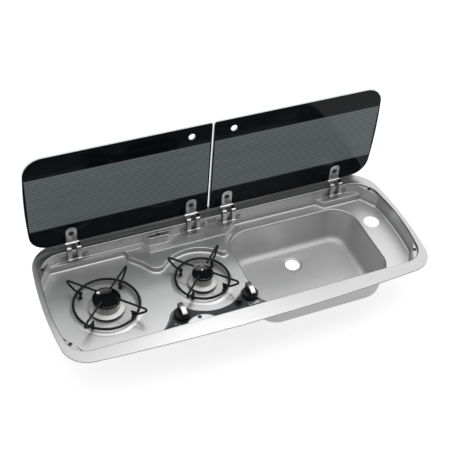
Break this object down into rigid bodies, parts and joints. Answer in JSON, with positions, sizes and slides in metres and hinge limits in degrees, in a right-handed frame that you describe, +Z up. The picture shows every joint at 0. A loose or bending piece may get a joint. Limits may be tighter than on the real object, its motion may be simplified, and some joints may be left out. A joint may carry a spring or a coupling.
{
  "type": "hob and sink unit",
  "caption": "Built-in pressed steel hob and sink unit: gas burners with wire pan supports, control knobs, push igniter and sink bowl under hinged glass lids.",
  "frame": {"origin": "centre of the rim's length and depth, on the plane where the rim rests on the worktop", "axes": "+X along the unit to the bowl, +Y to the hinged back edge, +Z up"},
  "size_m": [0.8998, 0.37, 0.4095],
  "materials": {
    "pan": "satin pressed stainless steel",
    "seal": "black foam and heat-proof seal",
    "lid_glass": "toughened glass, printed black behind",
    "hinge_steel": "bright plated steel",
    "bracket_steel": "bright steel strip",
    "lid_fastener": "dark plated",
    "lid_washer": "soft washer",
    "panel": "dark satin",
    "clip": "bright",
    "knob": "satin black",
    "knob_grip": "silver",
    "spindle": "machined",
    "valve": "cast and machined",
    "igniter": "black",
    "burner": "cast",
    "burner_cap": "gloss black enamel",
    "mixing_cup": "cast",
    "probe": "steel and ceramic",
    "support_wire": "black enamelled wire",
    "support_foot": "black",
    "pipe": "plain tube"
  },
  "bodies": {
    "base": {"pan": "pan", "rim_seal": "seal", "left_burner_seal": "seal", "right_burner_seal": "seal", "hinge_pins": "hinge_steel", "left_outer_hinge_bracket": "bracket_steel", "left_inner_hinge_bracket": "bracket_steel", "right_inner_hinge_bracket": "bracket_steel", "right_outer_hinge_bracket": "bracket_steel", "hinge_rivets": "bracket_steel", "centre_bracket": "bracket_steel", "control_panel": "panel", "panel_clip": "clip", "left_gas_valve": "valve", "right_gas_valve": "valve", "left_gas_jet": "valve", "right_gas_jet": "valve", "igniter_collar": "igniter", "igniter_body": "igniter", "left_burner_base": "burner", "left_burner_head": "burner", "right_burner_base": "burner", "right_burner_head": "burner", "left_burner_cap": "burner_cap", "right_burner_cap": "burner_cap", "left_mixing_cup": "mixing_cup", "right_mixing_cup": "mixing_cup", "thermocouples": "probe", "spark_electrodes": "probe", "left_pan_support": "support_wire", "right_pan_support": "support_wire", "left_support_feet": "support_foot", "right_support_feet": "support_foot", "gas_rail": "pipe", "gas_inlet": "pipe", "left_feed_pipe": "pipe", "right_feed_pipe": "pipe"},
    "left_lid": {"left_lid_glass": "lid_glass", "left_outer_hinge_arm": "hinge_steel", "left_inner_hinge_arm": "hinge_steel", "left_lid_screws": "lid_fastener", "left_lid_washers": "lid_washer", "left_lid_nuts": "lid_fastener"},
    "right_lid": {"right_lid_glass": "lid_glass", "right_outer_hinge_arm": "hinge_steel", "right_inner_hinge_arm": "hinge_steel", "right_lid_screws": "lid_fastener", "right_lid_washers": "lid_washer", "right_lid_nuts": "lid_fastener"},
    "left_push": {"left_push_pin": "spindle"},
    "left_knob": {"left_knob": "knob", "left_knob_grip": "knob_grip", "left_spindle": "spindle"},
    "right_push": {"right_push_pin": "spindle"},
    "right_knob": {"right_knob": "knob", "right_knob_grip": "knob_grip", "right_spindle": "spindle"},
    "igniter_push": {"igniter_button": "igniter"}
  },
  "joints": [
    {"name": "left_lid_hinge", "type": "hinge", "parent": "base", "child": "left_lid", "pos_m": [0, 0.14, -0.0195], "axis": [1, 0, 0], "range_deg": [0, 90]},
    {"name": "right_lid_hinge", "type": "hinge", "parent": "base", "child": "right_lid", "pos_m": [0, 0.14, -0.0195], "axis": [1, 0, 0], "range_deg": [0, 90]},
    {"name": "left_tap_push", "type": "slide", "parent": "base", "child": "left_push", "axis": [0, 0, -1], "range_m": [0, 0.004], "stiffness_N_per_m": 600, "springref_m": -0.003},
    {"name": "left_tap_turn", "type": "hinge", "parent": "left_push", "child": "left_knob", "pos_m": [-0.164, -0.094, -0.01], "axis": [0, 0, 1], "range_deg": [0, 210]},
    {"name": "right_tap_push", "type": "slide", "parent": "base", "child": "right_push", "axis": [0, 0, -1], "range_m": [0, 0.004], "stiffness_N_per_m": 600, "springref_m": -0.003},
    {"name": "right_tap_turn", "type": "hinge", "parent": "right_push", "child": "right_knob", "pos_m": [0.002, -0.088, -0.01], "axis": [0, 0, 1], "range_deg": [0, 210]},
    {"name": "igniter_push", "type": "slide", "parent": "base", "child": "igniter_push", "axis": [0, 0, -1], "range_m": [0, 0.005], "stiffness_N_per_m": 500, "springref_m": -0.003}
  ]
}
